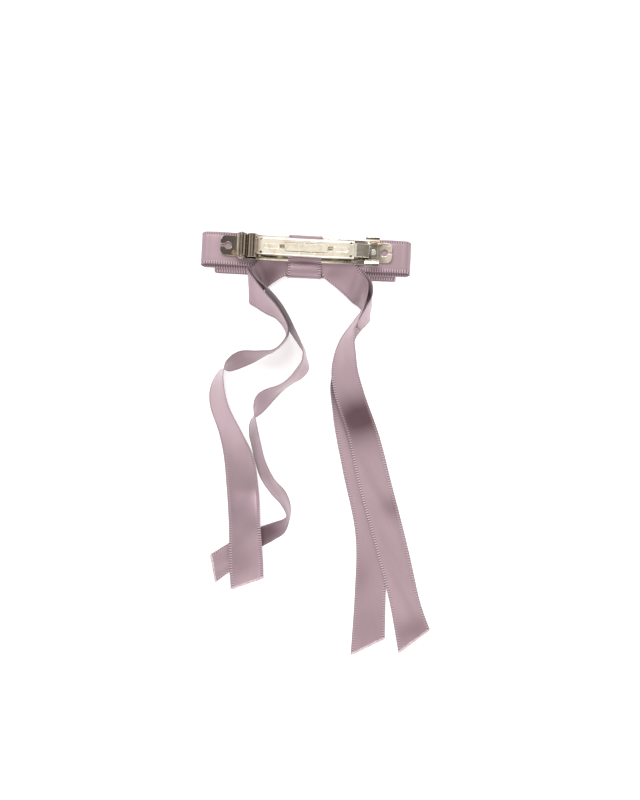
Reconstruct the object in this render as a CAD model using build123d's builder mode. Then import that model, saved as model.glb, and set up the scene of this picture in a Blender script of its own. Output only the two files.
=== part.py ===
"""Ribbon bow on a metal automatic barrette, lying face down with its clasp upwards.

Millimetres. The origin is on the knot's front face, under the middle of the barrette.
+X runs along the barrette from the hinge to the catch, +Y points away from the tails,
and +Z points up out of the clasp side.
"""

import os
from math import cos, sin

from build123d import *

# Base plate: a strip bent to an arc, with its ends higher than its middle
PLATE_LENGTH = 80.0
TAB_WIDTH = 9.4
PLATE_THICKNESS = 0.6
PLATE_BOTTOM = 3.4
PLATE_RISE = 3.6
TAB_CORNER = 2.6
TAB_HOLE_RADIUS = 1.7
TAB_HOLE_X = 36.4
LEFT_SLIT = 1.3
RIGHT_SLIT = 0.5
MIDDLE_START = -32.5
MIDDLE_END = 32.8
MIDDLE_WIDTH = 11.4
MIDDLE_CORNER = 0.8
SIDE_HOLE_RADIUS = 1.0
SIDE_HOLE_AT = (-33.8, -3.2)
ARC_RADIUS = ((PLATE_LENGTH / 2) ** 2 + PLATE_RISE**2) / (2 * PLATE_RISE)

# Hinge
PIN_X = -30.0
PIN_Z = 9.3
PIN_RADIUS = 0.8
PIN_CLEARANCE = 0.05
PIN_HEAD_RADIUS = 1.3
PIN_HEAD_HEIGHT = 0.5
EAR_RADIUS = 2.2
EAR_THICKNESS = 0.6
HOOD_RADIUS = 2.5
HOOD_WIDTH = 9.8
HUMP_X = -25.0
HUMP_RADIUS = 2.2
HUMP_WIDTH = 11.0

# Clasp arm: a pressed channel with a narrower nose
ARM_WIDTH = 8.4
ARM_SHEET = 0.5
ARM_DEPTH = 1.5
ARM_TOP = 11.2
ARM_RISE = 0.6
ARM_START = -22.8
ARM_END = 22.2
NOSE_END = 29.2
NOSE_WIDTH = 6.2
LIP_DEPTH = 2.4
BAR_WIDTH = 4.0
SLOT_WIDTH = 0.4
WINDOW_X = 11.1
WINDOW_SIZE = 2.2
OVAL_X = 16.0
OVAL_LENGTH = 7.0
OVAL_WIDTH = 2.2
NOTCH_X = 20.8
NOTCH_RADIUS = 0.6

# Tension strip under the arm
STRIP_START = -26.6
STRIP_END = 24.0
STRIP_WIDTH = 6.0
STRIP_SHEET = 0.3
STRIP_MIDDLE_Z = 4.8
STRIP_LEFT_Z = 5.85
STRIP_RIGHT_Z = 5.6
STRIP_RIVET_X = -24.6
STRIP_RIVET_TOP = 0.7

# Catch: a U of spring strip with two flared finger tabs
CATCH_X = 31.3
CATCH_LENGTH = 3.8
CATCH_HALF_GAP = 4.0
CATCH_SHEET = 0.45
CATCH_HEIGHT = 3.9
TAB_REACH = 7.1
TAB_TIP_HEIGHT = 5.1
TAB_LENGTH = 6.6
FLEX_GAP = 0.12
RIVET_RADIUS = 0.7
RIVET_HEAD_RADIUS = 1.3
RIVET_HEAD_HEIGHT = 0.35
RIVET_FIT = 0.08
RIVET_GAP = 0.07

# Ribbon
CLOTH = 0.3
RIBBON_WIDTH = 15.0
OUTER_LOOP_Y = -1.2
INNER_LOOP_Y = -4.5
KNOT_LEFT = -8.3
KNOT_RIGHT = 7.3
THREAD = 0.1
THREAD_PITCH = 0.6
# Corners of the ring that one turn of thread makes, in the plane across the clasp
THREAD_RING = [(6.45, 0.42), (6.45, 3.2), (-12.2, 3.2), (-12.2, 0.42)]
PAD_LENGTH = 2.6
PAD_WIDTH = 6.0
PAD_HEIGHT = 0.25
PAD_GAP = 0.02
PAD_X = 27.9

# Each tail is a row of lines across the ribbon: (far edge, near edge), from the knot out
TAIL_LEFT_FRONT = [
    ((-1, 2.2, 2.3), (-1, -11.2, 2.3)),
    ((-7, 2, 2.3), (-6, -11.5, 2.3)),
    ((-17, -0.5, 2.9), (-11.5, -13.5, 2.1)),
    ((-23, -6, 3.3), (-18.5, -19, 0.5)),
    ((-27, -10, 4.6), (-25.5, -25.5, 0.8)),
    ((-23, -15.5, 7.6), (-22, -28, 0.4)),
    ((-18, -21.5, 10.6), (-17.5, -30.5, 0.3)),
    ((-11, -29.5, 13.6), (-12, -33, 0.3)),
    ((-6.5, -39.5, 15), (-7.5, -40, 0.3)),
    ((-11.5, -47.5, 15), (-11.5, -46, 0.3)),
    ((-19.5, -49, 14.5), (-18.5, -51.5, 0.3)),
    ((-28, -49.5, 13), (-25.5, -55.5, 0.3)),
    ((-31.5, -51.6, 13.9), (-30.3, -57.6, 0.3)),
    ((-33.6, -54, 14.4), (-33.4, -58.3, 0.3)),
    ((-34.5, -56, 14.8), (-36.8, -57.3, 0.3)),
    ((-34.8, -58.6, 14.6), (-39, -59.8, 0.3)),
    ((-34.9, -61.5, 13.9), (-40.8, -63.5, 0.3)),
    ((-34.3, -66, 13.3), (-41.8, -67.5, 0.3)),
    ((-32.7, -72.5, 12.6), (-41.6, -73, 0.3)),
    ((-25, -87, 10.5), (-36.5, -87, 0.3)),
    ((-20, -96, 6.2), (-34, -96, 0.3)),
    ((-16.5, -111.5, 3), (-31.5, -112, 0.5)),
    ((-14.3, -131, 7.8), (-29.3, -131, 1.8)),
    ((-12.5, -146, 2.6), (-28, -150, 1.9)),
    ((-12, -153, 0.8), (-27, -159, 0.6)),
]
TAIL_LEFT_BACK = [
    ((-1, 2.2, 2.9), (-1, -11.2, 2.9)),
    ((-7, 2, 2.9), (-6, -11.5, 2.9)),
    ((-18, -1, 3.8), (-11, -13.5, 2.8)),
    ((-23, -7, 4.3), (-15.5, -16.5, 1.9)),
    ((-24.5, -10.5, 7.5), (-17, -17.5, 1.5)),
    ((-23.5, -13.5, 10.5), (-18, -18.7, 1.2)),
    ((-20.5, -17, 13.6), (-18.2, -20.2, 0.8)),
    ((-16.5, -20, 15), (-17, -21.7, 0.3)),
    ((-11, -25.5, 15), (-13, -27.5, 0.3)),
    ((-3, -38.5, 15), (-5, -39.5, 0.3)),
    ((-0.4, -44, 15.2), (-1.2, -44.5, 0.3)),
    ((1, -48.4, 15.3), (1.6, -48.6, 0.3)),
    ((0.4, -53.2, 14.9), (3.6, -52.4, 0.3)),
    ((-1.5, -56.3, 14.2), (3.9, -55.6, 0.3)),
    ((-4, -59.8, 14.2), (1.2, -59.7, 0.3)),
    ((-6.9, -62.8, 14.7), (-3.2, -62.6, 0.3)),
    ((-10.3, -64.8, 14.7), (-7, -65.6, 0.3)),
    ((-13.8, -66, 14.3), (-10, -69, 0.3)),
    ((-16.8, -67.4, 13.7), (-13.2, -73, 0.3)),
    ((-18.9, -69.2, 13), (-16.2, -76.5, 0.3)),
    ((-20.1, -71.8, 13.4), (-19.2, -79, 0.3)),
    ((-20.3, -75, 14.3), (-21.2, -79.6, 0.3)),
    ((-19.6, -78.3, 14.4), (-22.3, -82.2, 0.3)),
    ((-18.3, -83, 14.5), (-22.3, -87, 0.3)),
    ((-16, -91.5, 14.3), (-21, -92, 0.3)),
    ((-13.5, -99.5, 14.2), (-18.5, -100.5, 0.3)),
    ((-9, -107.5, 13.8), (-15.5, -108, 0.3)),
    ((-3.5, -113, 13.8), (-10.5, -114.5, 0.3)),
    ((-1, -119, 14.2), (-5.5, -119.5, 0.3)),
    ((-1, -124.5, 14.6), (-3, -124, 0.3)),
    ((-2.5, -130.5, 12.5), (-4, -125.5, 0.3)),
    ((-8, -135.5, 8), (-9, -127.5, 0.3)),
    ((-13.5, -139, 4), (-15, -130, 0.3)),
    ((-20.5, -146, 1.6), (-21.5, -133.5, 0.3)),
    ((-28, -151.5, 1), (-29, -138, 0.3)),
    ((-34, -156.5, 0.4), (-37, -143.5, 0.3)),
]
TAIL_RIGHT_FRONT = [
    ((1, 2.2, 2.9), (1, -11.2, 2.9)),
    ((6.5, 2.5, 2.9), (7, -11.2, 2.9)),
    ((16, -1, 3.5), (10, -13.5, 2.8)),
    ((21.5, -4, 3.9), (15, -17, 2)),
    ((26.5, -9.5, 5.2), (19.5, -20.5, 1.2)),
    ((29.5, -15, 10), (23, -23.5, 1)),
    ((29.5, -19, 12.6), (25.5, -25, 1.1)),
    ((28.5, -24, 14.8), (27, -26.5, 1.6)),
    ((27, -28, 16.2), (27.5, -27.5, 2)),
    ((24, -32.5, 16.4), (26.5, -30.5, 2.5)),
    ((17.5, -42.5, 14.5), (24.5, -39.5, 3)),
    ((15.5, -48.5, 13), (25.5, -46.5, 2.5)),
    ((14.5, -57, 10.5), (27, -55, 1.5)),
    ((16, -65, 8.5), (30, -64, 1)),
    ((24, -87, 2.4), (38.5, -85, 0.7)),
    ((29.5, -107.5, 1.4), (45, -106, 0.5)),
    ((39.5, -138, 1.3), (54.5, -137, 0.5)),
    ((47.5, -164.5, 0.7), (61.5, -162, 0.4)),
    ((52, -184.5, 0.4), (66, -173, 0.3)),
]
TAIL_RIGHT_BACK = [
    ((1, 2.2, 2.3), (1, -11.2, 2.3)),
    ((6.5, 2.5, 2.3), (7, -11.2, 2.3)),
    ((16.5, -1, 2.9), (10.5, -13.5, 2.1)),
    ((23, -4.5, 3.1), (15.5, -17, 1.3)),
    ((29, -10.5, 5), (21, -21.5, 0.5)),
    ((31.5, -15, 10), (25.3, -23.3, 0.3)),
    ((31.8, -19.5, 13), (28.3, -24.5, 0.3)),
    ((30.8, -23, 14.2), (30.4, -26.6, 0.3)),
    ((29.4, -25.8, 14.6), (31.2, -29, 0.3)),
    ((27.9, -28.6, 13.9), (31.4, -31, 0.3)),
    ((26.5, -31, 12.5), (30, -33.2, 0.3)),
    ((25.8, -33, 8.5), (28.2, -35.2, 0.3)),
    ((25.9, -34.8, 2.4), (27, -36.8, 0.3)),
    ((24.2, -38, 1.6), (25.6, -38.8, 0.3)),
    ((20, -43.5, 1.4), (24.5, -44.5, 0.3)),
    ((17.5, -50.5, 3.4), (25.5, -51.5, 0.3)),
    ((14.5, -60.5, 5.6), (25, -60.5, 0.3)),
    ((16, -75, 3.2), (30, -73.5, 0.3)),
    ((22, -101.5, 0.4), (36.5, -99, 0.3)),
    ((29.5, -131.5, 0.3), (44, -129.5, 0.3)),
    ((30.5, -159, 0.3), (45, -160, 0.3)),
    ((30, -186.5, 0.3), (45.5, -178, 0.3)),
]

os.makedirs("parts", exist_ok=True)


def save(builder, node):
    """Label a finished sub-part and write it as one STEP file."""
    builder.part.label = node
    export_step(builder.part, f"parts/{node}.step")


def plate_z(x):
    """Height of the plate's underside at x."""
    return PLATE_BOTTOM + ARC_RADIUS - (ARC_RADIUS**2 - x**2) ** 0.5


def plate_plane(x):
    """Plane on the plate's top at x, square to the bent plate."""
    slope = x / ARC_RADIUS
    origin = (x, 0, plate_z(x) + PLATE_THICKNESS)
    return Plane(origin=origin, x_dir=(cos(slope), 0, sin(slope)), z_dir=(-sin(slope), 0, cos(slope)))


def arc_band(start, end, heights, thickness):
    """Side view of a bent strip: three heights of its lower line, and its thickness."""
    left, middle, right = heights
    centre = (start + end) / 2
    lower = [(start, left), (centre, middle), (end, right)]
    upper = [(x, z + thickness) for x, z in lower]
    with BuildLine() as outline:
        ThreePointArc(*lower)
        Line(lower[2], upper[2])
        ThreePointArc(*reversed(upper))
        Line(upper[0], lower[0])
    make_face(outline.edges())


# ---------------------------------------------------------------- base plate
plate_end_z = plate_z(PLATE_LENGTH / 2)

with BuildPart() as base_plate:
    with BuildSketch(Plane.XZ):
        arc_band(
            -PLATE_LENGTH / 2,
            PLATE_LENGTH / 2,
            (plate_end_z, PLATE_BOTTOM, plate_end_z),
            PLATE_THICKNESS,
        )
    extrude(amount=MIDDLE_WIDTH / 2, both=True)
    with BuildSketch(Plane.XY):
        RectangleRounded(PLATE_LENGTH, TAB_WIDTH, TAB_CORNER)
        with Locations(((MIDDLE_START + MIDDLE_END) / 2, 0)):
            RectangleRounded(MIDDLE_END - MIDDLE_START, MIDDLE_WIDTH, MIDDLE_CORNER)
        with Locations((STRIP_RIVET_X, 0), (CATCH_X, 0)):
            Circle(RIVET_RADIUS + RIVET_FIT, mode=Mode.SUBTRACT)
        with Locations(SIDE_HOLE_AT):
            Circle(SIDE_HOLE_RADIUS, mode=Mode.SUBTRACT)
    extrude(amount=PIN_Z, mode=Mode.INTERSECT)
    # each tab's hole and its slit out to the plate's end, square to the plate
    for end, slit in ((-1, LEFT_SLIT), (1, RIGHT_SLIT)):
        with BuildSketch(plate_plane(end * TAB_HOLE_X)):
            Circle(TAB_HOLE_RADIUS)
            with Locations((end * TAB_HOLE_X / 2, 0)):
                Rectangle(TAB_HOLE_X, slit)
        extrude(amount=2 * PLATE_THICKNESS, both=True, mode=Mode.SUBTRACT)
    for side in (-1, 1):
        ear_plane = Plane.XZ.offset(-side * (MIDDLE_WIDTH - EAR_THICKNESS) / 2)
        ear_foot = plate_z(PIN_X) + PLATE_THICKNESS / 2
        with BuildSketch(ear_plane):
            with Locations((PIN_X, PIN_Z)):
                Circle(EAR_RADIUS)
            with Locations((PIN_X, (PIN_Z + ear_foot) / 2)):
                Rectangle(2 * EAR_RADIUS, PIN_Z - ear_foot)
            with Locations((PIN_X, PIN_Z)):
                Circle(PIN_RADIUS + 0.01, mode=Mode.SUBTRACT)
        extrude(amount=EAR_THICKNESS / 2, both=True)
save(base_plate, "base_plate")

# ---------------------------------------------------------------- hinge pin
with BuildPart() as hinge_pin:
    with BuildSketch(Plane.XZ):
        with Locations((PIN_X, PIN_Z)):
            Circle(PIN_RADIUS)
    extrude(amount=MIDDLE_WIDTH / 2 + 0.1, both=True)
    for side in (-1, 1):
        with BuildSketch(Plane.XZ.offset(side * (MIDDLE_WIDTH / 2 + PIN_CLEARANCE))):
            with Locations((PIN_X, PIN_Z)):
                Circle(PIN_HEAD_RADIUS)
        extrude(amount=side * PIN_HEAD_HEIGHT)
save(hinge_pin, "hinge_pin")

# ---------------------------------------------------------------- clasp arm
arm_end_top = ARM_TOP + ARM_RISE
arm_bottom = ARM_TOP - ARM_DEPTH
nose_top = arm_end_top - 0.2

with BuildPart() as clasp_arm:
    # channel: the full depth, hollowed from below
    with BuildSketch(Plane.XZ):
        arc_band(
            ARM_START,
            ARM_END,
            (arm_end_top - ARM_DEPTH, arm_bottom, arm_end_top - ARM_DEPTH),
            ARM_DEPTH,
        )
    extrude(amount=ARM_WIDTH / 2, both=True)
    long_edges = clasp_arm.edges().filter_by(GeomType.CIRCLE).group_by(Axis.Z)[-1]
    fillet(long_edges, radius=0.9)
    with BuildSketch(Plane.XZ):
        arc_band(
            ARM_START - 1,
            ARM_END + 1,
            (arm_end_top - ARM_DEPTH - 1, arm_bottom - 1, arm_end_top - ARM_DEPTH - 1),
            ARM_DEPTH - ARM_SHEET + 1,
        )
    extrude(amount=ARM_WIDTH / 2 - ARM_SHEET, both=True, mode=Mode.SUBTRACT)
    # windows, the two slots of the lanced bar and the corner notches
    with BuildSketch(Plane.XY.offset(arm_bottom)):
        with Locations((-WINDOW_X, 0), (WINDOW_X, 0)):
            Rectangle(WINDOW_SIZE, WINDOW_SIZE)
        with Locations((0, BAR_WIDTH / 2), (0, -BAR_WIDTH / 2)):
            SlotOverall(2 * WINDOW_X - WINDOW_SIZE, SLOT_WIDTH)
        for x in (-NOTCH_X, NOTCH_X):
            with Locations((x, 3), (x, -3)):
                Circle(NOTCH_RADIUS)
    extrude(amount=2 * ARM_DEPTH, mode=Mode.SUBTRACT)
    # pressed ovals beside the windows
    with BuildSketch(Plane.XY.offset(ARM_TOP)):
        with Locations((-OVAL_X, 0), (OVAL_X, 0)):
            SlotOverall(OVAL_LENGTH, OVAL_WIDTH)
    extrude(amount=ARM_DEPTH, mode=Mode.SUBTRACT)
    # nose with a lip that turns down into the catch
    with BuildSketch(Plane.XZ):
        with BuildLine():
            Polyline(
                (ARM_END - 0.6, arm_end_top - ARM_DEPTH),
                (ARM_END - 0.6, arm_end_top - 0.1),
                (ARM_END + 1.2, nose_top),
                (NOSE_END, nose_top - 0.5),
                (NOSE_END, nose_top - LIP_DEPTH),
                (NOSE_END - ARM_SHEET, nose_top - LIP_DEPTH),
                (NOSE_END - ARM_SHEET, nose_top - 1.4),
                close=True,
            )
        make_face()
    extrude(amount=NOSE_WIDTH / 2, both=True)
    # hump behind the hinge and the sheet that joins it to the channel
    with BuildSketch(Plane.XZ):
        with Locations((HUMP_X, PIN_Z + 0.2)):
            Circle(HUMP_RADIUS + ARM_SHEET / 2)
            Circle(HUMP_RADIUS - ARM_SHEET / 2, mode=Mode.SUBTRACT)
            with Locations((0, -HUMP_RADIUS)):
                Rectangle(3 * HUMP_RADIUS, 2 * HUMP_RADIUS, mode=Mode.SUBTRACT)
    extrude(amount=HUMP_WIDTH / 2, both=True)
    with BuildSketch(Plane.XZ):
        with BuildLine():
            Polyline(
                (HUMP_X + 1.4, PIN_Z + 1.9),
                (ARM_START + 0.4, arm_end_top - ARM_SHEET),
                (ARM_START + 0.4, arm_end_top),
                (HUMP_X + 1.4, PIN_Z + 2.3),
                close=True,
            )
        make_face()
    extrude(amount=ARM_WIDTH / 2 - 1, both=True)
    # hood over the pin, with a cheek at each end
    with BuildSketch(Plane.XZ):
        with Locations((PIN_X, PIN_Z)):
            Circle(HOOD_RADIUS)
    extrude(amount=HOOD_WIDTH / 2, both=True)
    with BuildSketch(Plane.XZ):
        with Locations((PIN_X, PIN_Z)):
            Circle(HOOD_RADIUS - ARM_SHEET)
        with Locations((PIN_X, PIN_Z - HOOD_RADIUS)):
            Rectangle(2 * HOOD_RADIUS, 2 * HOOD_RADIUS - 2.4)
    extrude(amount=HOOD_WIDTH / 2 - ARM_SHEET, both=True, mode=Mode.SUBTRACT)
    with BuildSketch(Plane.XZ):
        with Locations(((PIN_X + HOOD_RADIUS + HUMP_X - HUMP_RADIUS) / 2, PIN_Z + 0.5)):
            Rectangle(0.9, ARM_SHEET)
    extrude(amount=HOOD_WIDTH / 2, both=True)
    with BuildSketch(Plane.XZ):
        with Locations((PIN_X, PIN_Z)):
            Circle(PIN_RADIUS + PIN_CLEARANCE)
    extrude(amount=HUMP_WIDTH, both=True, mode=Mode.SUBTRACT)
save(clasp_arm, "clasp_arm")

# ---------------------------------------------------------------- tension strip and its rivet
with BuildPart() as tension_spring:
    with BuildSketch(Plane.XZ):
        arc_band(
            STRIP_START,
            STRIP_END,
            (STRIP_LEFT_Z, STRIP_MIDDLE_Z, STRIP_RIGHT_Z),
            STRIP_SHEET,
        )
    extrude(amount=STRIP_WIDTH / 2, both=True)
    with BuildSketch(Plane.XY):
        with Locations((STRIP_RIVET_X, 0)):
            Circle(RIVET_RADIUS + RIVET_FIT)
    extrude(amount=PIN_Z, mode=Mode.SUBTRACT)
save(tension_spring, "tension_spring")


def headed_rivet(plane, low, high):
    """Shank from low to high along the plane's normal, with a head outside each end."""
    with BuildPart() as rivet:
        with BuildSketch(plane.offset(low)):
            Circle(RIVET_RADIUS)
        extrude(amount=high - low)
        with BuildSketch(plane.offset(high)):
            Circle(RIVET_HEAD_RADIUS)
        extrude(amount=RIVET_HEAD_HEIGHT)
        with BuildSketch(plane.offset(low)):
            Circle(RIVET_HEAD_RADIUS)
        extrude(amount=-RIVET_HEAD_HEIGHT)
    return rivet


strip_rivet = headed_rivet(plate_plane(STRIP_RIVET_X), -PLATE_THICKNESS - RIVET_GAP, STRIP_RIVET_TOP)
save(strip_rivet, "strip_rivet")

# ---------------------------------------------------------------- catch
catch_plane = plate_plane(CATCH_X)
catch_side = Plane(origin=catch_plane.origin, x_dir=(0, 1, 0), z_dir=catch_plane.x_dir)
floor_low = 0.06

with BuildPart() as catch_bracket:
    with BuildSketch(catch_plane.offset(floor_low)):
        Rectangle(CATCH_LENGTH, 2 * (CATCH_HALF_GAP - FLEX_GAP))
        Circle(RIVET_RADIUS + RIVET_FIT, mode=Mode.SUBTRACT)
    extrude(amount=CATCH_SHEET)
save(catch_bracket, "catch_bracket")

catch_rivet = headed_rivet(catch_plane, -PLATE_THICKNESS - RIVET_GAP, floor_low + CATCH_SHEET + 0.02)
save(catch_rivet, "catch_rivet")


def release_tab(side):
    """Upright at one side of the catch, flared outwards into a finger tab."""
    wall = side * (CATCH_HALF_GAP + CATCH_SHEET / 2)
    with BuildPart() as tab:
        with BuildSketch(catch_side):
            with BuildLine():
                upright = Line((wall, floor_low), (wall, CATCH_HEIGHT))
                Spline(
                    upright @ 1,
                    (side * TAB_REACH, TAB_TIP_HEIGHT),
                    tangents=((0, 1), (side, -0.1)),
                )
            trace(line_width=CATCH_SHEET)
        extrude(amount=TAB_LENGTH / 2, both=True)
        # the upright is narrower than the finger tab
        for end in (-1, 1):
            with BuildSketch(catch_side.offset(end * CATCH_LENGTH / 2)):
                with Locations((wall, CATCH_HEIGHT / 2)):
                    Rectangle(2.4, CATCH_HEIGHT + 1)
            extrude(amount=end * TAB_LENGTH, mode=Mode.SUBTRACT)
    return tab


release_tab_upper = release_tab(1)
save(release_tab_upper, "release_tab_upper")

release_tab_lower = release_tab(-1)
save(release_tab_lower, "release_tab_lower")


# ---------------------------------------------------------------- bow loops
def ribbon_loop(y_centre, end_x, end_z, front, back):
    """Flat loop seen from the side: a closed line of cloth, pinched at the knot."""
    half = front + [(end_x, end_z)] + back[::-1]
    mirrored = [(-x, z) for x, z in reversed(half)]
    with BuildPart() as loop:
        with BuildSketch(Plane.XZ.offset(-y_centre)):
            with BuildLine():
                Spline(*half, *mirrored, periodic=True)
            trace(line_width=CLOTH)
        extrude(amount=RIBBON_WIDTH / 2, both=True)
    return loop


INNER_FRONT = [(2, 0.65), (8, 0.65), (20, 0.5), (32, 0.4), (39, 0.5)]
INNER_BACK = [(2, 1.0), (8, 1.0), (20, 1.1), (32, 1.6), (39, 1.7)]
OUTER_FRONT = [(2, 1.4), (8, 1.4), (20, 1.55), (32, 2.3), (44, 3.0)]
OUTER_BACK = [(2, 1.8), (8, 1.8), (15, 1.85), (21, 2.2), (25, 3.3), (29, 4.3), (34, 5.2), (44, 5.5)]

inner_loop = ribbon_loop(INNER_LOOP_Y, 42.3, 1.1, INNER_FRONT, INNER_BACK)
save(inner_loop, "inner_loop")

outer_loop = ribbon_loop(OUTER_LOOP_Y, 48.8, 4.2, OUTER_FRONT, OUTER_BACK)
save(outer_loop, "outer_loop")

# ---------------------------------------------------------------- knot wrap and thread
KNOT_LINE = [
    (-12.9, 0.15),
    (6.9, 0.15),
    (7.0, 1.9),
    (6.8, 3.7),
    (6.0, 4.47),
    (-5.6, 4.47),
    (-11.9, 4.0),
    (-12.9, 3.1),
]

with BuildPart() as knot_wrap:
    with BuildSketch(Plane.YZ.offset(KNOT_LEFT)):
        with BuildLine() as knot_path:
            Polyline(*KNOT_LINE, close=True)
            fillet(knot_path.vertices(), radius=0.4)
        trace(line_width=CLOTH)
    extrude(amount=KNOT_RIGHT - KNOT_LEFT)
save(knot_wrap, "knot_wrap")

with BuildPart() as gathering_thread:
    for turn in (-1, 0, 1):
        with BuildSketch(Plane.YZ.offset(turn * THREAD_PITCH - THREAD / 2)):
            with BuildLine():
                Polyline(*THREAD_RING, close=True)
            trace(line_width=THREAD)
        extrude(amount=THREAD)
save(gathering_thread, "gathering_thread")

# ---------------------------------------------------------------- glue pads under the plate
with BuildPart() as glue_pads:
    for x in (-PAD_X, PAD_X):
        with BuildSketch(Plane.XY.offset(plate_z(PAD_X - PAD_LENGTH / 2) - PAD_HEIGHT - PAD_GAP)):
            with Locations((x, 0)):
                Rectangle(PAD_LENGTH, PAD_WIDTH)
        extrude(amount=PAD_HEIGHT)
save(glue_pads, "glue_pads")


# ---------------------------------------------------------------- tails
def tail_corners(rows):
    """Four corners of the cloth's thin section at each line across the ribbon."""
    lines = [(Vector(*far), Vector(*near)) for far, near in rows]
    middles = [(far + near) * 0.5 for far, near in lines]
    sections = []
    for i, (far, near) in enumerate(lines):
        along = middles[min(i + 1, len(rows) - 1)] - middles[max(i - 1, 0)]
        half = along.cross(far - near).normalized() * (CLOTH / 2)
        sections.append([far + half, near + half, near - half, far - half])
    return sections


def tail(rows):
    """Cloth panels between neighbouring lines across the ribbon, closed into one solid."""
    sections = tail_corners(rows)
    faces = [Face(Wire.make_polygon(end, close=True)) for end in (sections[0], sections[-1])]
    for here, there in zip(sections, sections[1:]):
        for corner in range(4):
            following = (corner + 1) % 4
            first = Edge.make_line(here[corner], here[following])
            second = Edge.make_line(there[corner], there[following])
            faces.append(Face.make_surface_from_curves(first, second))
    return Solid(Shell(faces))


TAILS = {
    "tail_left_front": TAIL_LEFT_FRONT,
    "tail_left_back": TAIL_LEFT_BACK,
    "tail_right_front": TAIL_RIGHT_FRONT,
    "tail_right_back": TAIL_RIGHT_BACK,
}

for node, rows in TAILS.items():
    with BuildPart() as tail_part:
        add(tail(rows))
    save(tail_part, node)
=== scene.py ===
"""Satin ribbon bow on a metal automatic barrette, lying face down with its clasp upwards.

The clasp's metal pieces are the CAD nodes with polished finishes. Every ribbon is a cloth mesh
that replaces its CAD solid. Shapes are worked out in millimetres and stored in metres.
"""

from math import cos, pi, radians, sin

import bpy
import numpy as np
from mathutils import Matrix, Vector


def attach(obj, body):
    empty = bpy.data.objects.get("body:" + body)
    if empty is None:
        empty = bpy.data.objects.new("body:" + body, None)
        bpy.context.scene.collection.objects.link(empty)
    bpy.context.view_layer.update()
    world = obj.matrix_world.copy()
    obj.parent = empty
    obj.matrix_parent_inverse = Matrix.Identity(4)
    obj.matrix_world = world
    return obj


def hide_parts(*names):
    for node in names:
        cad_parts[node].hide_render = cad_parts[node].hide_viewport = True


MM = 0.001

# Camera above the bow, turned and leaning a little
CAMERA_TILT = radians(2.9)
CAMERA_PITCH = radians(3.3)
CAMERA_DISTANCE = 750 * MM
CAMERA_TARGET = Vector((9.93, -69.49, 0)) * MM
CAMERA_LENS = 72.27
CAMERA_SENSOR = 36

# Ribbon, with a band of small ribs (picots) along each selvedge
RIBBON_WIDTH = 15.0
CLOTH_HALF = 0.13
ROW_STEP = 0.25
PICOT_PITCH = 1.15
PICOT_START = 0.3
PICOT_BAND = 1.3
PICOT_FADE = 0.2
PICOT_RISE = 0.07
PICOT_REACH = 0.14
SCALLOP_DEPTH = 0.6
TAIL_BOW = 1.1
TAIL_WAVE = 0.1
LOOP_WAVE = 0.05
LONG_RIPPLE = 7.9
SHORT_RIPPLE = 4.3

# Melted bead along a cut end: half-sizes of its oval section, and its mesh
BEAD_REACH = 0.744
BEAD_RISE = 0.341
BEAD_RINGS = 70
BEAD_SIDES = 10

# Drop of glue in the plate's small side hole
DROP_PLACE = Vector((-33.8, -3.2, 6.2))
DROP_RADIUS = 0.93
DROP_HEIGHT = 0.35
DROP_RINGS = 7
DROP_SIDES = 20

# Clasp, and its painted shade by place along it from 0 to 1: darkest near the hinge end, a little
# darker at both ends
CLASP_LENGTH = 80 * MM
PAINTED_CLASP_SHADE = [
    (0.08, (0.68, 0.64, 0.64)),
    (0.1, (0.42, 0.37, 0.33)),
    (0.22, (0.42, 0.37, 0.33)),
    (0.245, (1.0, 1.0, 1.0)),
    (0.86, (1.0, 1.0, 1.0)),
    (0.92, (0.8, 0.74, 0.7)),
]

# Studio
STUDIO_STRENGTH = 0.95
WHITE = (1.0, 1.0, 1.0)
WARM = (1.01, 0.95, 0.82)
DIM = (0.16, 0.15, 0.145)
BRIGHT = (1.75, 1.75, 1.75)
FLOOR_GLOW = 0.4
FLOOR_REACH = 3.0
FLOOR_DROP = 0.0001
BOX_SHARE = 0.85
# Walls from west to east: place along X from 0 to 1, and colour
WALLS = [
    (0.1, WHITE),
    (0.16, DIM),
    (0.28, DIM),
    (0.31, WHITE),
    (0.35, WHITE),
    (0.37, DIM),
    (0.42, DIM),
    (0.46, WHITE),
    (0.55, WHITE),
    (0.6, DIM),
    (0.81, DIM),
    (0.92, WHITE),
]

# Half the cloth's thickness by distance in from an edge: rim, selvedge, groove, body
HALF_PROFILE = [(0, 0.05), (0.12, 0.12), (0.35, 0.15), (1.15, 0.15), (1.35, 0.09), (1.7, CLOTH_HALF)]

# Columns of points across the cloth: distances in from each edge, and places in the body from 0 to 1
EDGE_COLUMNS = [0, 0.12, 0.35, 0.65, 0.95, 1.2, 1.35, 1.6, 2.4]
BODY_COLUMNS = [0.24, 0.33, 0.42, 0.5, 0.58, 0.67, 0.76]

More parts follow.
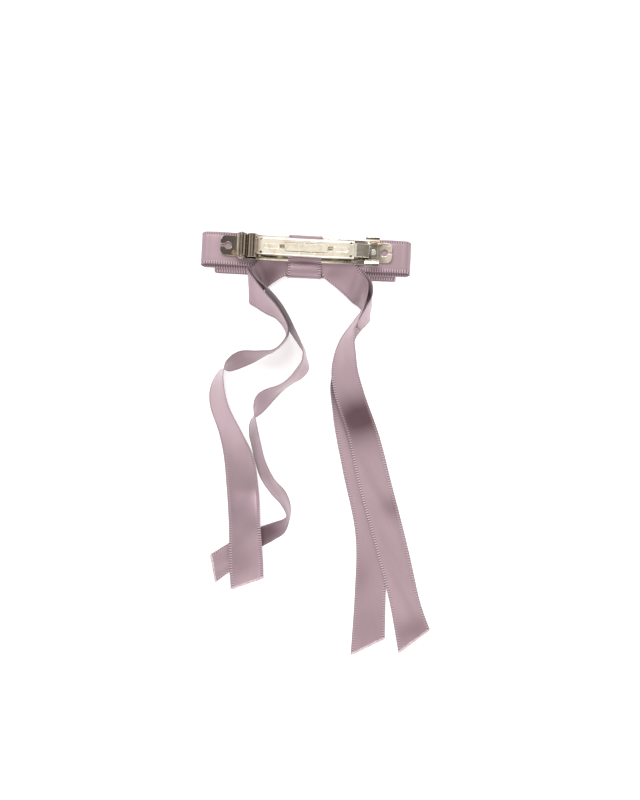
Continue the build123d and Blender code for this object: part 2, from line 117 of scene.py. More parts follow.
# Each tail is a row of lines across the ribbon: (far edge, near edge), from the knot out
TAIL_LEFT_FRONT = [
    ((-1, 2.2, 2.3), (-1, -11.2, 2.3)),
    ((-7, 2, 2.3), (-6, -11.5, 2.3)),
    ((-17, -0.5, 2.9), (-11.5, -13.5, 2.1)),
    ((-23, -6, 3.3), (-18.5, -19, 0.5)),
    ((-27, -10, 4.6), (-25.5, -25.5, 0.8)),
    ((-23, -15.5, 7.6), (-22, -28, 0.4)),
    ((-18, -21.5, 10.6), (-17.5, -30.5, 0.3)),
    ((-11, -29.5, 13.6), (-12, -33, 0.3)),
    ((-6.5, -39.5, 15), (-7.5, -40, 0.3)),
    ((-11.5, -47.5, 15), (-11.5, -46, 0.3)),
    ((-19.5, -49, 14.5), (-18.5, -51.5, 0.3)),
    ((-28, -49.5, 13), (-25.5, -55.5, 0.3)),
    ((-31.5, -51.6, 13.9), (-30.3, -57.6, 0.3)),
    ((-33.6, -54, 14.4), (-33.4, -58.3, 0.3)),
    ((-34.5, -56, 14.8), (-36.8, -57.3, 0.3)),
    ((-34.8, -58.6, 14.6), (-39, -59.8, 0.3)),
    ((-34.9, -61.5, 13.9), (-40.8, -63.5, 0.3)),
    ((-34.3, -66, 13.3), (-41.8, -67.5, 0.3)),
    ((-32.7, -72.5, 12.6), (-41.6, -73, 0.3)),
    ((-25, -87, 10.5), (-36.5, -87, 0.3)),
    ((-20, -96, 6.2), (-34, -96, 0.3)),
    ((-16.5, -111.5, 3), (-31.5, -112, 0.5)),
    ((-14.3, -131, 7.8), (-29.3, -131, 1.8)),
    ((-12.5, -146, 2.6), (-28, -150, 1.9)),
    ((-12, -153, 0.8), (-27, -159, 0.6)),
]
TAIL_LEFT_BACK = [
    ((-1, 2.2, 2.9), (-1, -11.2, 2.9)),
    ((-7, 2, 2.9), (-6, -11.5, 2.9)),
    ((-18, -1, 3.8), (-11, -13.5, 2.8)),
    ((-23, -7, 4.3), (-15.5, -16.5, 1.9)),
    ((-24.5, -10.5, 7.5), (-17, -17.5, 1.5)),
    ((-23.5, -13.5, 10.5), (-18, -18.7, 1.2)),
    ((-20.5, -17, 13.6), (-18.2, -20.2, 0.8)),
    ((-16.5, -20, 15), (-17, -21.7, 0.3)),
    ((-11, -25.5, 15), (-13, -27.5, 0.3)),
    ((-3, -38.5, 15), (-5, -39.5, 0.3)),
    ((-0.4, -44, 15.2), (-1.2, -44.5, 0.3)),
    ((1, -48.4, 15.3), (1.6, -48.6, 0.3)),
    ((0.4, -53.2, 14.9), (3.6, -52.4, 0.3)),
    ((-1.5, -56.3, 14.2), (3.9, -55.6, 0.3)),
    ((-4, -59.8, 14.2), (1.2, -59.7, 0.3)),
    ((-6.9, -62.8, 14.7), (-3.2, -62.6, 0.3)),
    ((-10.3, -64.8, 14.7), (-7, -65.6, 0.3)),
    ((-13.8, -66, 14.3), (-10, -69, 0.3)),
    ((-16.8, -67.4, 13.7), (-13.2, -73, 0.3)),
    ((-18.9, -69.2, 13), (-16.2, -76.5, 0.3)),
    ((-20.1, -71.8, 13.4), (-19.2, -79, 0.3)),
    ((-20.3, -75, 14.3), (-21.2, -79.6, 0.3)),
    ((-19.6, -78.3, 14.4), (-22.3, -82.2, 0.3)),
    ((-18.3, -83, 14.5), (-22.3, -87, 0.3)),
    ((-16, -91.5, 14.3), (-21, -92, 0.3)),
    ((-13.5, -99.5, 14.2), (-18.5, -100.5, 0.3)),
    ((-9, -107.5, 13.8), (-15.5, -108, 0.3)),
    ((-3.5, -113, 13.8), (-10.5, -114.5, 0.3)),
    ((-1, -119, 14.2), (-5.5, -119.5, 0.3)),
    ((-1, -124.5, 14.6), (-3, -124, 0.3)),
    ((-2.5, -130.5, 12.5), (-4, -125.5, 0.3)),
    ((-8, -135.5, 8), (-9, -127.5, 0.3)),
    ((-13.5, -139, 4), (-15, -130, 0.3)),
    ((-20.5, -146, 1.6), (-21.5, -133.5, 0.3)),
    ((-28, -151.5, 1), (-29, -138, 0.3)),
    ((-34, -156.5, 0.4), (-37, -143.5, 0.3)),
]
TAIL_RIGHT_FRONT = [
    ((1, 2.2, 2.9), (1, -11.2, 2.9)),
    ((6.5, 2.5, 2.9), (7, -11.2, 2.9)),
    ((16, -1, 3.5), (10, -13.5, 2.8)),
    ((21.5, -4, 3.9), (15, -17, 2)),
    ((26.5, -9.5, 5.2), (19.5, -20.5, 1.2)),
    ((29.5, -15, 10), (23, -23.5, 1)),
    ((29.5, -19, 12.6), (25.5, -25, 1.1)),
    ((28.5, -24, 14.8), (27, -26.5, 1.6)),
    ((27, -28, 16.2), (27.5, -27.5, 2)),
    ((24, -32.5, 16.4), (26.5, -30.5, 2.5)),
    ((17.5, -42.5, 14.5), (24.5, -39.5, 3)),
    ((15.5, -48.5, 13), (25.5, -46.5, 2.5)),
    ((14.5, -57, 10.5), (27, -55, 1.5)),
    ((16, -65, 8.5), (30, -64, 1)),
    ((24, -87, 2.4), (38.5, -85, 0.7)),
    ((29.5, -107.5, 1.4), (45, -106, 0.5)),
    ((39.5, -138, 1.3), (54.5, -137, 0.5)),
    ((47.5, -164.5, 0.7), (61.5, -162, 0.4)),
    ((52, -184.5, 0.4), (66, -173, 0.3)),
]
TAIL_RIGHT_BACK = [
    ((1, 2.2, 2.3), (1, -11.2, 2.3)),
    ((6.5, 2.5, 2.3), (7, -11.2, 2.3)),
    ((16.5, -1, 2.9), (10.5, -13.5, 2.1)),
    ((23, -4.5, 3.1), (15.5, -17, 1.3)),
    ((29, -10.5, 5), (21, -21.5, 0.5)),
    ((31.5, -15, 10), (25.3, -23.3, 0.3)),
    ((31.8, -19.5, 13), (28.3, -24.5, 0.3)),
    ((30.8, -23, 14.2), (30.4, -26.6, 0.3)),
    ((29.4, -25.8, 14.6), (31.2, -29, 0.3)),
    ((27.9, -28.6, 13.9), (31.4, -31, 0.3)),
    ((26.5, -31, 12.5), (30, -33.2, 0.3)),
    ((25.2, -33, 8.5), (28.2, -35.2, 0.3)),
    ((25.2, -34.8, 2.2), (27, -36.8, 0.3)),
    ((24.2, -38, 1.6), (25.6, -38.8, 0.3)),
    ((20, -43.5, 1.4), (24.5, -44.5, 0.3)),
    ((17.5, -50.5, 3.4), (25.5, -51.5, 0.3)),
    ((14.5, -60.5, 5.6), (25, -60.5, 0.3)),
    ((16, -75, 3.2), (30, -73.5, 0.3)),
    ((22, -101.5, 0.4), (36.5, -99, 0.3)),
    ((29.5, -131.5, 0.3), (44, -129.5, 0.3)),
    ((30.5, -159, 0.3), (45, -160, 0.3)),
    ((30, -186.5, 0.3), (45.5, -178, 0.3)),
]

# Painted shade on the satin, where its gloss turns dark and where it lies in shadow: centre,
# half-lengths, turn in degrees, strength
SHADES_LEFT_FRONT = [
    ((-17, -11), (7, 4), 20, 0.5),
    ((-31, -54), (7, 4), 10, 0.35),
    ((-24, -118), (14, 16), 0, 0.3),
    ((-21, -148), (12, 9), 0, 0.4),
]
SHADES_LEFT_BACK = [
    ((-15.5, -10.6), (6, 4), 20, 0.55),
    ((-9, -27.5), (22, 6), -50, 0.85),
    ((-14.5, -71), (9, 7), 30, 0.35),
    ((-9, -131), (12, 8), 20, 0.6),
]
SHADES_RIGHT_FRONT = [
    ((13, -10.5), (7, 2.5), 0, 0.3),
    ((29.5, -76.5), (19, 10), 25, 1.15),
    ((49, -117.5), (8, 5), 0, 0.5),
    ((58, -174), (11, 6), 20, 0.5),
]
SHADES_RIGHT_BACK = [((32.5, -150.5), (5, 9), 0, 0.35), ((38, -173), (12, 12), 0, 0.25)]
SHADES_KNOT = [((-0.5, -5.9), (9, 0.9), 0, 0.6), ((-0.5, -8), (14, 9), 0, 0.3)]

# Flat loops: the y of the middle, and how far the front layer slips towards the tails. For one half:
# (x, z) along the front layer, (x, z, share of the slip) round the end and (x, z) along the back layer
INNER_CENTRE = -4.5
INNER_SLIP = 0.5
INNER_FRONT = [(0.5, 0.65), (8, 0.65), (20, 0.5), (32, 0.4), (39, 0.42)]
INNER_TURN = [(41.4, 0.55, 0.9), (42.3, 1.1, 0.5), (41.4, 1.65, 0.1)]
INNER_BACK = [(0.5, 1.0), (8, 1.0), (20, 1.1), (32, 1.6), (39, 1.75)]
OUTER_CENTRE = -1.2
OUTER_SLIP = 1.6
OUTER_FRONT = [(0.5, 1.4), (8, 1.4), (20, 1.55), (32, 2.3), (44, 2.9)]
OUTER_TURN = [(47.6, 3.2, 0.9), (48.8, 4.2, 0.5), (47.6, 5.3, 0.12)]
OUTER_BACK = [(0.5, 1.8), (8, 1.8), (15, 1.85), (21, 2.2), (25, 3.3), (29, 4.3), (34, 5.2), (44, 5.6)]

# The knot wrap: its two edges along the clasp, and its way round the bow as (y, z)
KNOT_LEFT = -8.3
KNOT_RIGHT = 7.3
KNOT_LINE = [
    (0, 0.18),
    (6.4, 0.18),
    (7.0, 0.9),
    (6.9, 2.4),
    (6.3, 3.7),
    (5.2, 4.4),
    (0, 4.4),
    (-5.0, 4.4),
    (-5.9, 3.95),
    (-6.7, 4.05),
    (-8.0, 4.3),
    (-11.4, 4.0),
    (-12.6, 3.2),
    (-12.9, 1.6),
    (-12.4, 0.3),
    (-11, 0.18),
    (0, 0.18),
]

# Satin colours: body, painted shadow, thread
BODY = (0.375, 0.277, 0.302)
SHADOW = (0.115, 0.066, 0.078)
THREAD = (0.54, 0.42, 0.46)

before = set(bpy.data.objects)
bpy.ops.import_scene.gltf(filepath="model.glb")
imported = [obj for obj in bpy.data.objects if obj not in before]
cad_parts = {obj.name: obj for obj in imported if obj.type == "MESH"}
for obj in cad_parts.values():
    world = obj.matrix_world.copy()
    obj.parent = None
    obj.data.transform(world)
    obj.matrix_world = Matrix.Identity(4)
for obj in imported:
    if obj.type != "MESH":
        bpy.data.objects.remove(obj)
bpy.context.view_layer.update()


# ---------------------------------------------------------------- camera, floor and light
def add_camera():
    """Camera above the table, looking down and a little away from the tails."""
    up = Vector((0, 0, 1))
    right = Vector((cos(CAMERA_TILT), sin(CAMERA_TILT), 0))
    level = up.cross(right)
    ahead = level * sin(CAMERA_PITCH) - up * cos(CAMERA_PITCH)
    above = level * cos(CAMERA_PITCH) + up * sin(CAMERA_PITCH)
    data = bpy.data.cameras.new("camera")
    data.sensor_width = CAMERA_SENSOR
    data.lens = CAMERA_LENS
    camera = bpy.data.objects.new("camera", data)
    bpy.context.scene.collection.objects.link(camera)
    turn = Matrix((right, above, -ahead)).transposed().to_4x4()
    camera.matrix_world = Matrix.Translation(CAMERA_TARGET - ahead * CAMERA_DISTANCE) @ turn
    bpy.context.scene.camera = camera


def add_area_light(name, place, target, size, power):
    """Square soft light at place, facing target."""
    data = bpy.data.lights.new(name, "AREA")
    data.size = size
    data.energy = power
    light = bpy.data.objects.new(name, data)
    bpy.context.scene.collection.objects.link(light)
    light.location = place
    light.rotation_euler = (Vector(target) - Vector(place)).to_track_quat("-Z", "Y").to_euler()


def add_floor(material):
    """Plain pale floor."""
    reach = FLOOR_REACH
    mesh = bpy.data.meshes.new("floor")
    corners = [(-reach, -reach, 0), (reach, -reach, 0), (reach, reach, 0), (-reach, reach, 0)]
    mesh.from_pydata(corners, [], [(0, 1, 2, 3)])
    floor = bpy.data.objects.new("floor", mesh)
    floor.location.z = -FLOOR_DROP
    floor.data.materials.append(material)
    bpy.context.scene.collection.objects.link(floor)


def add_world():
    """White studio: warm straight above, with bright boxes north and south and dim walls west and east.

    The western wall, at the clasp's hinge end, has a bright gap part of the way up.
    """
    world = bpy.data.worlds.new("studio")
    world.use_nodes = True
    bpy.context.scene.world = world
    graph = Graph(world.node_tree)
    background = graph.node("ShaderNodeBackground", Strength=STUDIO_STRENGTH)
    place = graph.node("ShaderNodeTexCoord").outputs["Generated"]
    east = graph.math("MULTIPLY_ADD", graph.split(place, "X"), 0.5, 0.5)
    north = graph.math("ABSOLUTE", graph.split(place, "Y"))
    above = graph.ramp(graph.split(place, "Z"), [(0.0, WHITE), (0.93, WHITE), (1.0, WARM)])
    walls = graph.ramp(east, WALLS)
    boxes = graph.ramp(north, [(0.2, (0, 0, 0)), (0.4, WHITE), (0.75, WHITE), (0.95, (0, 0, 0))])
    box_share = graph.math("MULTIPLY", graph.split(boxes, "X"), BOX_SHARE)
    lit = graph.mix(box_share, graph.multiply(above, walls), BRIGHT)
    graph.link(lit, background.inputs["Color"])
    output = graph.node("ShaderNodeOutputWorld")
    graph.link(background.outputs["Background"], output.inputs["Surface"])


# ---------------------------------------------------------------- materials
class Graph:
    """Short calls for building a node tree."""

    def __init__(self, tree):
        self.tree = tree
        tree.nodes.clear()

    def node(self, kind, settings=None, **inputs):
        made = self.tree.nodes.new(kind)
        for name, value in (settings or {}).items():
            setattr(made, name, value)
        for name, value in inputs.items():
            made.inputs[name.replace("_", " ")].default_value = value
        return made

    def link(self, source, target):
        self.tree.links.new(source, target)

    def feed(self, socket, value):
        if isinstance(value, bpy.types.NodeSocket):
            self.link(value, socket)
        else:
            socket.default_value = value

    def math(self, operation, *values, clamp=False):
        made = self.node("ShaderNodeMath", {"operation": operation, "use_clamp": clamp})
        for socket, value in zip(made.inputs, values):
            self.feed(socket, value)
        return made.outputs[0]

    def split(self, vector, axis):
        made = self.node("ShaderNodeSeparateXYZ")
        self.link(vector, made.inputs[0])
        return made.outputs[axis]

    def ramp(self, factor, stops):
        made = self.node("ShaderNodeValToRGB")
        self.link(factor, made.inputs[0])
        points = made.color_ramp.elements
        while len(points) < len(stops):
            points.new(0.5)
        for point, (place, colour) in zip(points, stops):
            point.position = place
            point.color = (*colour, 1)
        return made.outputs[0]

    def noise(self, vector, scale, detail, stretch=(1, 1, 1), turn=0.0):
        mapping = self.node("ShaderNodeMapping")
        mapping.inputs["Scale"].default_value = stretch
        mapping.inputs["Rotation"].default_value = (0, 0, turn)
        self.link(vector, mapping.inputs["Vector"])
        made = self.node("ShaderNodeTexNoise", Scale=scale, Detail=detail)
        self.link(mapping.outputs[0], made.inputs["Vector"])
        return made.outputs[0]

    def mix(self, factor, first, second, blend="MIX"):
        made = self.node("ShaderNodeMix", {"data_type": "RGBA", "blend_type": blend})
        self.feed(made.inputs[0], factor)
        for socket, value in ((made.inputs[6], first), (made.inputs[7], second)):
            self.feed(socket, (*value, 1) if isinstance(value, tuple) else value)
        return made.outputs[2]

    def multiply(self, first, second):
        return self.mix(1.0, first, second, "MULTIPLY")

    def bump(self, height, distance, strength=1.0, normal=None):
        made = self.node("ShaderNodeBump", Strength=strength, Distance=distance)
        self.link(height, made.inputs["Height"])
        if normal is not None:
            self.link(normal, made.inputs["Normal"])
        return made.outputs[0]


def surface(name, **settings):
    """New material with a Principled shader: (material, graph, shader)."""
    material = bpy.data.materials.new(name)
    material.use_nodes = True
    graph = Graph(material.node_tree)
    shader = graph.node("ShaderNodeBsdfPrincipled")
    output = graph.node("ShaderNodeOutputMaterial")
    graph.link(shader.outputs[0], output.inputs["Surface"])
    for socket, value in settings.items():
        shader.inputs[socket.replace("_", " ")].default_value = value
    return material, graph, shader


def darker(colour, share):
    """The colour times a share, as a plain tuple."""
    return tuple(share * part for part in colour)


def satin(name, body, shadow, thread):
    """Woven satin: soft lengthwise gloss, fine diagonal weave and a ribbed selvedge."""
    material, graph, shader = surface(
        name,
        Metallic=0.4,
        Specular_IOR_Level=0.35,
        Anisotropic=0.4,
        Sheen_Weight=0.15,
        Sheen_Roughness=0.45,
        Sheen_Tint=(0.95, 0.82, 0.88, 1),
    )
    flat = graph.node("ShaderNodeUVMap", {"uv_map": "flat"}).outputs[0]
    along, across = graph.split(flat, "X"), graph.split(flat, "Y")
    ribs = graph.math("SINE", graph.math("MULTIPLY", along, 2 * pi / PICOT_PITCH))
    rib_light = graph.math("MULTIPLY_ADD", ribs, 0.5, 0.5)
    from_edge = graph.math("MINIMUM", across, graph.math("SUBTRACT", RIBBON_WIDTH, across))
    band = graph.math("LESS_THAN", from_edge, PICOT_BAND)
    weave = graph.noise(flat, 1.0, 2.0, (3.2, 0.55, 1), radians(38))
    patches = graph.noise(flat, 0.06, 3.0)
    threads = graph.ramp(weave, [(0.3, (0,) * 3), (0.7, (1,) * 3)])
    tints = graph.ramp(patches, [(0.3, (0.95, 0.93, 0.96)), (0.7, (1.03, 1.0, 1.01))])
    colour = graph.mix(threads, darker(body, 0.93), body)
    colour = graph.multiply(colour, tints)
    # Painted shade: the shade attribute mixes the satin towards the shadow colour where its gloss turns
    # dark and where it lies in shadow
    dark = graph.node("ShaderNodeAttribute", {"attribute_name": "shade"}).outputs["Fac"]
    colour = graph.mix(dark, colour, shadow)
    # Painted shadow in the gaps between the picot ribs, which run from the shadow colour to the thread
    # colour, with painted shade over them too
    selvedge = graph.mix(rib_light, shadow, thread)
    selvedge = graph.mix(graph.math("MULTIPLY", dark, 0.6), selvedge, shadow)
    graph.link(graph.mix(band, colour, selvedge), shader.inputs["Base Color"])
    rough = graph.math("MULTIPLY_ADD", weave, 0.1, 0.3)
    graph.link(graph.math("MULTIPLY_ADD", band, 0.2, rough, clamp=True), shader.inputs["Roughness"])
    fine = graph.noise(flat, 1.0, 1.0, (9, 1.2, 1), radians(38))
    bumped = graph.bump(fine, 0.00002, 0.5)
    relief = graph.math("MULTIPLY", ribs, band)
    graph.link(graph.bump(relief, 0.00004, 0.6, bumped), shader.inputs["Normal"])
    tangent = graph.node("ShaderNodeTangent", {"direction_type": "UV_MAP", "uv_map": "flat"})
    graph.link(tangent.outputs[0], shader.inputs["Tangent"])
    return material


def polished(name, colour, worn, roughness, edge, painted_shade_ramp=None):
    """Plated sheet metal: rounded edges, rolling lines along the clasp, worn patches.

    The painted shade is a ramp of colours along the clasp, from its hinge end to its catch end.
    """
    material, graph, shader = surface(name, Metallic=1.0)
    place = graph.node("ShaderNodeTexCoord").outputs["Object"]
    patches = graph.noise(place, 260.0, 4.0)
    tone = graph.ramp(patches, [(0.35, worn), (0.55, colour)])
    # Painted shade along the clasp, darkest near the hinge end
    if painted_shade_ramp:
        along = graph.math("MULTIPLY_ADD", graph.split(place, "X"), 1 / CLASP_LENGTH, 0.5)
        tone = graph.multiply(tone, graph.ramp(along, painted_shade_ramp))
    graph.link(tone, shader.inputs["Base Color"])
    streaks = graph.noise(place, 1400.0, 3.0, (0.05, 1, 1))
    graph.link(graph.math("MULTIPLY_ADD", streaks, 0.08, roughness), shader.inputs["Roughness"])
    rounded = graph.node("ShaderNodeBevel", {"samples": 8}, Radius=edge)
    rolling = graph.noise(place, 700.0, 1.0, (0.12, 1, 1))
    graph.link(graph.bump(rolling, 0.00006, 0.5, rounded.outputs[0]), shader.inputs["Normal"])
    return material


def cord_like(name, colour, roughness):
    """Twisted sewing thread."""
    material, graph, shader = surface(name, Sheen_Weight=0.3)
    place = graph.node("ShaderNodeTexCoord").outputs["Object"]
    twist = graph.noise(place, 6000.0, 2.0, (1, 0.3, 0.3), radians(45))
    tone = graph.ramp(twist, [(0.3, darker(colour, 0.6)), (0.7, colour)])
    graph.link(tone, shader.inputs["Base Color"])
    graph.link(graph.math("MULTIPLY_ADD", twist, 0.2, roughness), shader.inputs["Roughness"])
    graph.link(graph.bump(twist, 0.00004), shader.inputs["Normal"])
    return material


def dried_glue(name, colour):
    """Milky hot-melt glue."""
    material, graph, shader = surface(name, Specular_IOR_Level=0.5)
    place = graph.node("ShaderNodeTexCoord").outputs["Object"]
    cloud = graph.noise(place, 900.0, 3.0)
    tone = graph.ramp(cloud, [(0.3, darker(colour, 0.8)), (0.7, colour)])
    graph.link(tone, shader.inputs["Base Color"])
    graph.link(graph.math("MULTIPLY_ADD", cloud, 0.2, 0.3), shader.inputs["Roughness"])
    graph.link(graph.bump(cloud, 0.0002), shader.inputs["Normal"])
    return material


def fused_edge(name, colour, deep):
    """Heat-sealed cut: pale melted cloth with small lumps."""
    material, graph, shader = surface(name, Specular_IOR_Level=0.4)
    place = graph.node("ShaderNodeTexCoord").outputs["Object"]
    lumps = graph.noise(place, 1400.0, 3.0)
    graph.link(graph.ramp(lumps, [(0.35, deep), (0.6, colour)]), shader.inputs["Base Color"])
    graph.link(graph.math("MULTIPLY_ADD", lumps, 0.3, 0.4), shader.inputs["Roughness"])
    graph.link(graph.bump(lumps, 0.00015), shader.inputs["Normal"])
    return material


def pale_floor(name):
    """Matte white table with a barely visible grain."""
    material, graph, shader = surface(
        name,
        Roughness=0.9,
        Specular_IOR_Level=0.1,
        Emission_Color=(1, 1, 1, 1),
        Emission_Strength=FLOOR_GLOW,
    )
    place = graph.node("ShaderNodeTexCoord").outputs["Object"]
    grain = graph.noise(place, 40.0, 2.0)
    graph.link(graph.ramp(grain, [(0.3, (0.93,) * 3), (0.7, (0.95,) * 3)]), shader.inputs["Base Color"])
    return material


# ---------------------------------------------------------------- ribbon meshes
def length_of(vectors):
    return np.linalg.norm(vectors, axis=-1, keepdims=True)


def resample(rows, step):
    """Lines across a ribbon, evenly spaced along a smooth surface through the given ones."""
    values = np.array(rows, float).reshape(len(rows), 6)
    moves = np.diff(values, axis=0)
    spans = (length_of(moves[:, :3]) + length_of(moves[:, 3:])) / 2
    speeds = moves / spans
    slopes = np.empty_like(values)
    before, after = spans[:-1], spans[1:]
    slopes[1:-1] = (speeds[:-1] * after + speeds[1:] * before) / (before + after)
    slopes[0] = speeds[0]
    slopes[-1] = speeds[-1]
    knots = np.concatenate([[0], np.cumsum(spans[:, 0])])
    wanted = np.linspace(0, knots[-1], int(knots[-1] / step) + 1)
    cell = np.clip(np.searchsorted(knots, wanted, "right") - 1, 0, len(spans) - 1)
    span = spans[cell]
    t = (wanted - knots[cell])[:, None] / span
    start, end = values[cell], values[cell + 1]
    grid = (
        (2 * t**3 - 3 * t**2 + 1) * start
        + (t**3 - 2 * t**2 + t) * span * slopes[cell]
        + (3 * t**2 - 2 * t**3) * end
        + (t**3 - t**2) * span * slopes[cell + 1]
    )
    return grid[:, :3], grid[:, 3:]


def edge_run(points):
    """Distance along an edge at each of its points, and its direction there."""
    steps = length_of(np.diff(points, axis=0))[:, 0]
    run = np.concatenate([[0], np.cumsum(steps)])
    direction = np.gradient(points, axis=0)
    return run, direction / length_of(direction)


def columns(width):
    """Places across the ribbon, from 0 at the far edge to 1, close together in the selvedges."""
    edge = [d / width for d in EDGE_COLUMNS]
    return np.array(edge + BODY_COLUMNS + [1 - e for e in reversed(edge)])


def half_thickness(depth):
    """Half the cloth's thickness by distance in from the nearer edge."""
    places, halves = zip(*HALF_PROFILE)
    return np.interp(depth, places, halves)


def add_piece(name, mesh, material):
    """Smooth object of one material from a mesh."""
    mesh.shade_smooth()
    mesh.materials.append(material)
    piece = bpy.data.objects.new(name, mesh)
    bpy.context.scene.collection.objects.link(piece)
    return piece


def ring_walls(rings, sides):
    """Faces between the neighbours in a stack of rings of points."""
    faces = []
    for i in range(rings - 1):
        for s in range(sides):
            n = (s + 1) % sides
            faces.append((i * sides + s, i * sides + n, (i + 1) * sides + n, (i + 1) * sides + s))
    return faces


def run_along(far, near, v):
    """Distance along the cloth at each point: measured from the edge that is nearer to it."""
    far_run, far_direction = edge_run(far)
    near_run, near_direction = edge_run(near)
    reach = near - far
    lean_far = (reach * far_direction).sum(1)[:, None]
    lean_near = (reach * near_direction).sum(1)[:, None]
    along_far = far_run[:, None] + v * lean_far
    along_near = near_run[:, None] - (1 - v) * lean_near
    blend = np.clip((v - 0.25) / 0.5, 0, 1)
    return along_far * (1 - blend) + along_near * blend


def cloth_faces(rows_count, ring):
    """Faces of a closed strip: the walls between its rings of points, and a cap at each end."""
    index = np.arange(rows_count * ring).reshape(rows_count, ring)
    following = np.roll(index, -1, axis=1)
    walls = np.stack([index[:-1], following[:-1], following[1:], index[1:]], axis=-1).reshape(-1, 4)
    faces = walls.tolist()
    for row, flip in ((0, 1), (rows_count - 1, -1)):
        ids = index[row]
        for c in range(ring // 2 - 1):
            cap = [ids[c], ids[ring - 1 - c], ids[ring - 2 - c], ids[c + 1]]
            faces.append([int(i) for i in cap[::flip]])
    return faces


def set_flat_map(mesh, along, v):
    """UV map of the cloth laid flat, in millimetres."""
    flat_across = np.broadcast_to(v * RIBBON_WIDTH, along.shape)
    flat = np.stack([along, flat_across], axis=-1)
    flat = np.concatenate([flat, flat[:, ::-1]], axis=1).reshape(-1, 2)
    corners = np.empty(len(mesh.loops), np.int32)
    mesh.loops.foreach_get("vertex_index", corners)
    mesh.uv_layers.new(name="flat").data.foreach_set("uv", flat[corners].astype(np.float32).ravel())


def set_shade(mesh, places, shades):
    """Attribute of painted shade that darkens the cloth round each of the shades."""
    shade = np.zeros(len(places))
    for (x, y), (long, short), turn, strength in shades:
        a = radians(turn)
        east = (places[:, 0] - x) * cos(a) + (places[:, 1] - y) * sin(a)
        north = (places[:, 1] - y) * cos(a) - (places[:, 0] - x) * sin(a)
        shade += strength * np.exp(-((east / long) ** 2) - (north / short) ** 2)
    values = np.clip(shade, 0, 1).astype(np.float32)
    mesh.attributes.new("shade", "FLOAT", "POINT").data.foreach_set("value", values)


def add_ribbon(name, rows, material, shades=(), bow=0.0, wave=LOOP_WAVE, seed=0.0):
    """Closed cloth mesh on a smooth surface through the rows, with ribbed selvedges.

    Cloth that stands on edge bows out by the bow, and all of it has ripples as high as the wave.
    """
    far, near = resample(rows, ROW_STEP)
    width = float(np.median(length_of(near - far)))
    v = columns(width)[None, :]
    along = run_along(far, near, v)
    reach = near - far
    middle = far[:, None, :] * (1 - v[..., None]) + near[:, None, :] * v[..., None]
    run_vector = np.gradient(middle, axis=0)
    across = reach[:, None, :] / length_of(reach)[:, None, :]
    normal = np.cross(run_vector, across)
    normal /= length_of(normal)
    depth = np.minimum(v, 1 - v) * width

    # Ribs raise the selvedges and make their edges wavy
    rib = np.sin(2 * pi * along / PICOT_PITCH)
    band = np.clip(depth / PICOT_START, 0, 1) * np.clip((PICOT_BAND - depth) / PICOT_FADE, 0, 1)
    side = np.where(v < 0.5, -1.0, 1.0)
    scallop = PICOT_REACH * rib * np.clip(1 - depth / SCALLOP_DEPTH, 0, 1) * side

    # Bow and ripples, kept above the floor
    upright = (1 - np.abs(normal[..., 2])) ** 3
    rolling = np.sin(along / LONG_RIPPLE + seed)
    rolling += 0.5 * np.sin(along / SHORT_RIPPLE + 2.1 * seed + 2 * v)
    ripple = (bow * upright + wave * rolling) * np.sin(pi * v)
    middle = middle + across * scallop[..., None] + normal * ripple[..., None]
    middle[..., 2] = np.maximum(middle[..., 2], CLOTH_HALF)

    # Each line across becomes a ring of points: the upper side, then the lower side back again
    half = half_thickness(depth) + PICOT_RISE * rib * band
    upper = middle + normal * half[..., None]
    lower = middle - normal * half[..., None]
    loop = np.concatenate([upper, lower[:, ::-1]], axis=1)
    places = loop.reshape(-1, 3)
    faces = cloth_faces(len(loop), loop.shape[1])

    mesh = bpy.data.meshes.new(name)
    mesh.from_pydata((places * MM).tolist(), [], faces)
    set_flat_map(mesh, along, v)
    set_shade(mesh, places, shades)
    piece = add_piece(name, mesh, material)
    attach(piece, "root")
    return piece


def add_cut_end(name, row, material, seed):
    """Lumpy bead of melted cloth along a tail's cut end."""
    far, near = Vector(row[0]), Vector(row[1])
    along = (near - far).normalized()
    side = along.cross(Vector((0, 0, 1))).normalized()
    up = side.cross(along)
    vertices = []
    for i in range(BEAD_RINGS):
        t = i / (BEAD_RINGS - 1)
        swell = 0.85 + 0.06 * sin(31 * t + seed) + 0.05 * sin(73 * t + 2 * seed)
        swell *= min(1.0, 0.35 + 9 * min(t, 1 - t))
        centre = far.lerp(near, t * 1.03 - 0.015) + side * 0.04 * sin(19 * t + seed)
        for s in range(BEAD_SIDES):
            a = 2 * pi * s / BEAD_SIDES
            out = side * cos(a) * BEAD_REACH + up * sin(a) * BEAD_RISE
            vertices.append((centre + out * swell) * MM)
    faces = ring_walls(BEAD_RINGS, BEAD_SIDES)
    faces.append(tuple(reversed(range(BEAD_SIDES))))
    faces.append(tuple(range((BEAD_RINGS - 1) * BEAD_SIDES, BEAD_RINGS * BEAD_SIDES)))
    mesh = bpy.data.meshes.new(name)
    mesh.from_pydata(vertices, [], faces)
    piece = add_piece(name, mesh, material)
    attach(piece, "root")
    return piece


def add_glue_drop(name, place, radius, height, material):
    """Domed drop of hardened glue that fills a small hole in the plate."""
    vertices = []
    for i in range(DROP_RINGS):
        a = pi / 2 * i / DROP_RINGS
        for s in range(DROP_SIDES):
            turn = 2 * pi * s / DROP_SIDES
            reach = radius * cos(a) * (1 + 0.06 * sin(3 * turn + i))
            out = Vector((reach * cos(turn), reach * sin(turn), height * sin(a)))
            vertices.append((place + out) * MM)
    vertices.append((place + Vector((0, 0, height))) * MM)
    vertices.append((place - Vector((0, 0, height))) * MM)
    top = DROP_RINGS * DROP_SIDES
    under = top + 1
    last_ring = top - DROP_SIDES
    faces = ring_walls(DROP_RINGS, DROP_SIDES)
    for s in range(DROP_SIDES):
        n = (s + 1) % DROP_SIDES
        faces.append((last_ring + s, last_ring + n, top))
        faces.append((n, s, under))
    mesh = bpy.data.meshes.new(name)
    mesh.from_pydata(vertices, [], faces)
    piece = add_piece(name, mesh, material)
    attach(piece, "root")
    return piece


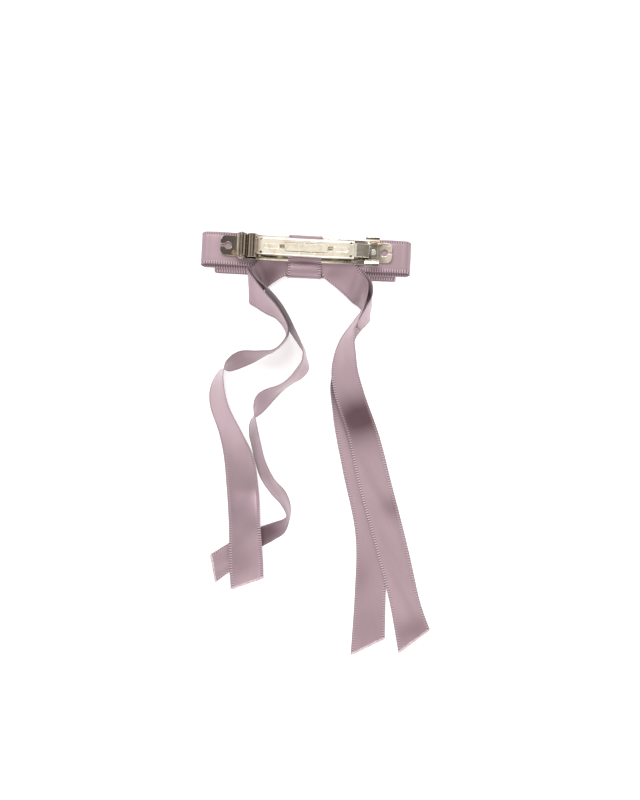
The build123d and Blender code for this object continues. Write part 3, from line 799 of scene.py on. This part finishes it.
def loop_rows(y_centre, front, turn, back, slip):
    """Lines across a flat loop, from its middle round both ends and back to the middle.

    The front layer slips towards the tails by the slip, and a turn by its share of it.
    """
    half = [(x, z, 1.0) for x, z in front]
    half += [(x, z, s) for x, z, s in turn]
    half += [(x, z, 0.0) for x, z in reversed(back)]
    ring = half + [(-x, z, s) for x, z, s in reversed(half)]
    ring.append(ring[0])
    rows = []
    for x, z, share in ring:
        y = y_centre - slip * share
        rows.append(((x, y + RIBBON_WIDTH / 2, z), (x, y - RIBBON_WIDTH / 2, z)))
    return rows


# ---------------------------------------------------------------- build
add_camera()
add_world()
bpy.context.scene.view_settings.view_transform = "Standard"
add_floor(pale_floor("pale_floor"))
add_area_light("key_light", (-0.25, 0.45, 0.9), (0, -0.07, 0), 0.4, 4.0)
add_area_light("fill_light", (0.3, -0.7, 0.7), (0, -0.07, 0), 0.4, 2.5)

ribbon_satin = satin("satin_ribbon", BODY, SHADOW, THREAD)
champagne = polished("champagne_metal", (0.92, 0.88, 0.81), (0.8, 0.73, 0.62), 0.05, 0.0002, PAINTED_CLASP_SHADE)
steel = polished("bright_steel", (0.8, 0.78, 0.74), (0.68, 0.64, 0.56), 0.12, 0.0001)
thread = cord_like("thread", (0.5, 0.35, 0.4), 0.5)
glue = dried_glue("glue", (0.8, 0.77, 0.7))
sealed = fused_edge("sealed_cut", (0.58, 0.47, 0.5), (0.38, 0.28, 0.31))

# Finishes of the CAD nodes that show as they are
FINISHES = {
    champagne: ["base_plate", "clasp_arm", "catch_bracket", "release_tab_upper", "release_tab_lower"],
    steel: ["hinge_pin", "tension_spring", "strip_rivet", "catch_rivet"],
    thread: ["gathering_thread"],
    glue: ["glue_pads"],
}
for material, names in FINISHES.items():
    for name in names:
        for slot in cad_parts[name].material_slots:
            slot.material = material

# Each tail: its lines, painted shade, seed of its ripples and flat length in metres
TAILS = {
    "tail_left_front": (TAIL_LEFT_FRONT, SHADES_LEFT_FRONT, 0.4, 0.201),
    "tail_left_back": (TAIL_LEFT_BACK, SHADES_LEFT_BACK, 1.7, 0.206),
    "tail_right_front": (TAIL_RIGHT_FRONT, SHADES_RIGHT_FRONT, 2.9, 0.202),
    "tail_right_back": (TAIL_RIGHT_BACK, SHADES_RIGHT_BACK, 4.2, 0.207),
}
for node, (rows, shades, seed, flat_length) in TAILS.items():
    ribbon = add_ribbon(node + "_ribbon", rows, ribbon_satin, shades, TAIL_BOW, TAIL_WAVE, seed)
    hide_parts(node)
    bead = add_cut_end(node + "_cut_end", rows[-1], sealed, seed)

amber = dried_glue("amber_glue", (0.3, 0.15, 0.035))
add_glue_drop("side_hole_glue", DROP_PLACE, DROP_RADIUS, DROP_HEIGHT, amber)

inner_rows = loop_rows(INNER_CENTRE, INNER_FRONT, INNER_TURN, INNER_BACK, INNER_SLIP)
inner = add_ribbon("inner_loop_ribbon", inner_rows, ribbon_satin)
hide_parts("inner_loop")
outer_rows = loop_rows(OUTER_CENTRE, OUTER_FRONT, OUTER_TURN, OUTER_BACK, OUTER_SLIP)
outer = add_ribbon("outer_loop_ribbon", outer_rows, ribbon_satin)
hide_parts("outer_loop")

knot_rows = [((KNOT_LEFT, y, z), (KNOT_RIGHT, y, z)) for y, z in KNOT_LINE]
knot = add_ribbon("knot_wrap_ribbon", knot_rows, ribbon_satin, SHADES_KNOT)
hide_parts("knot_wrap")
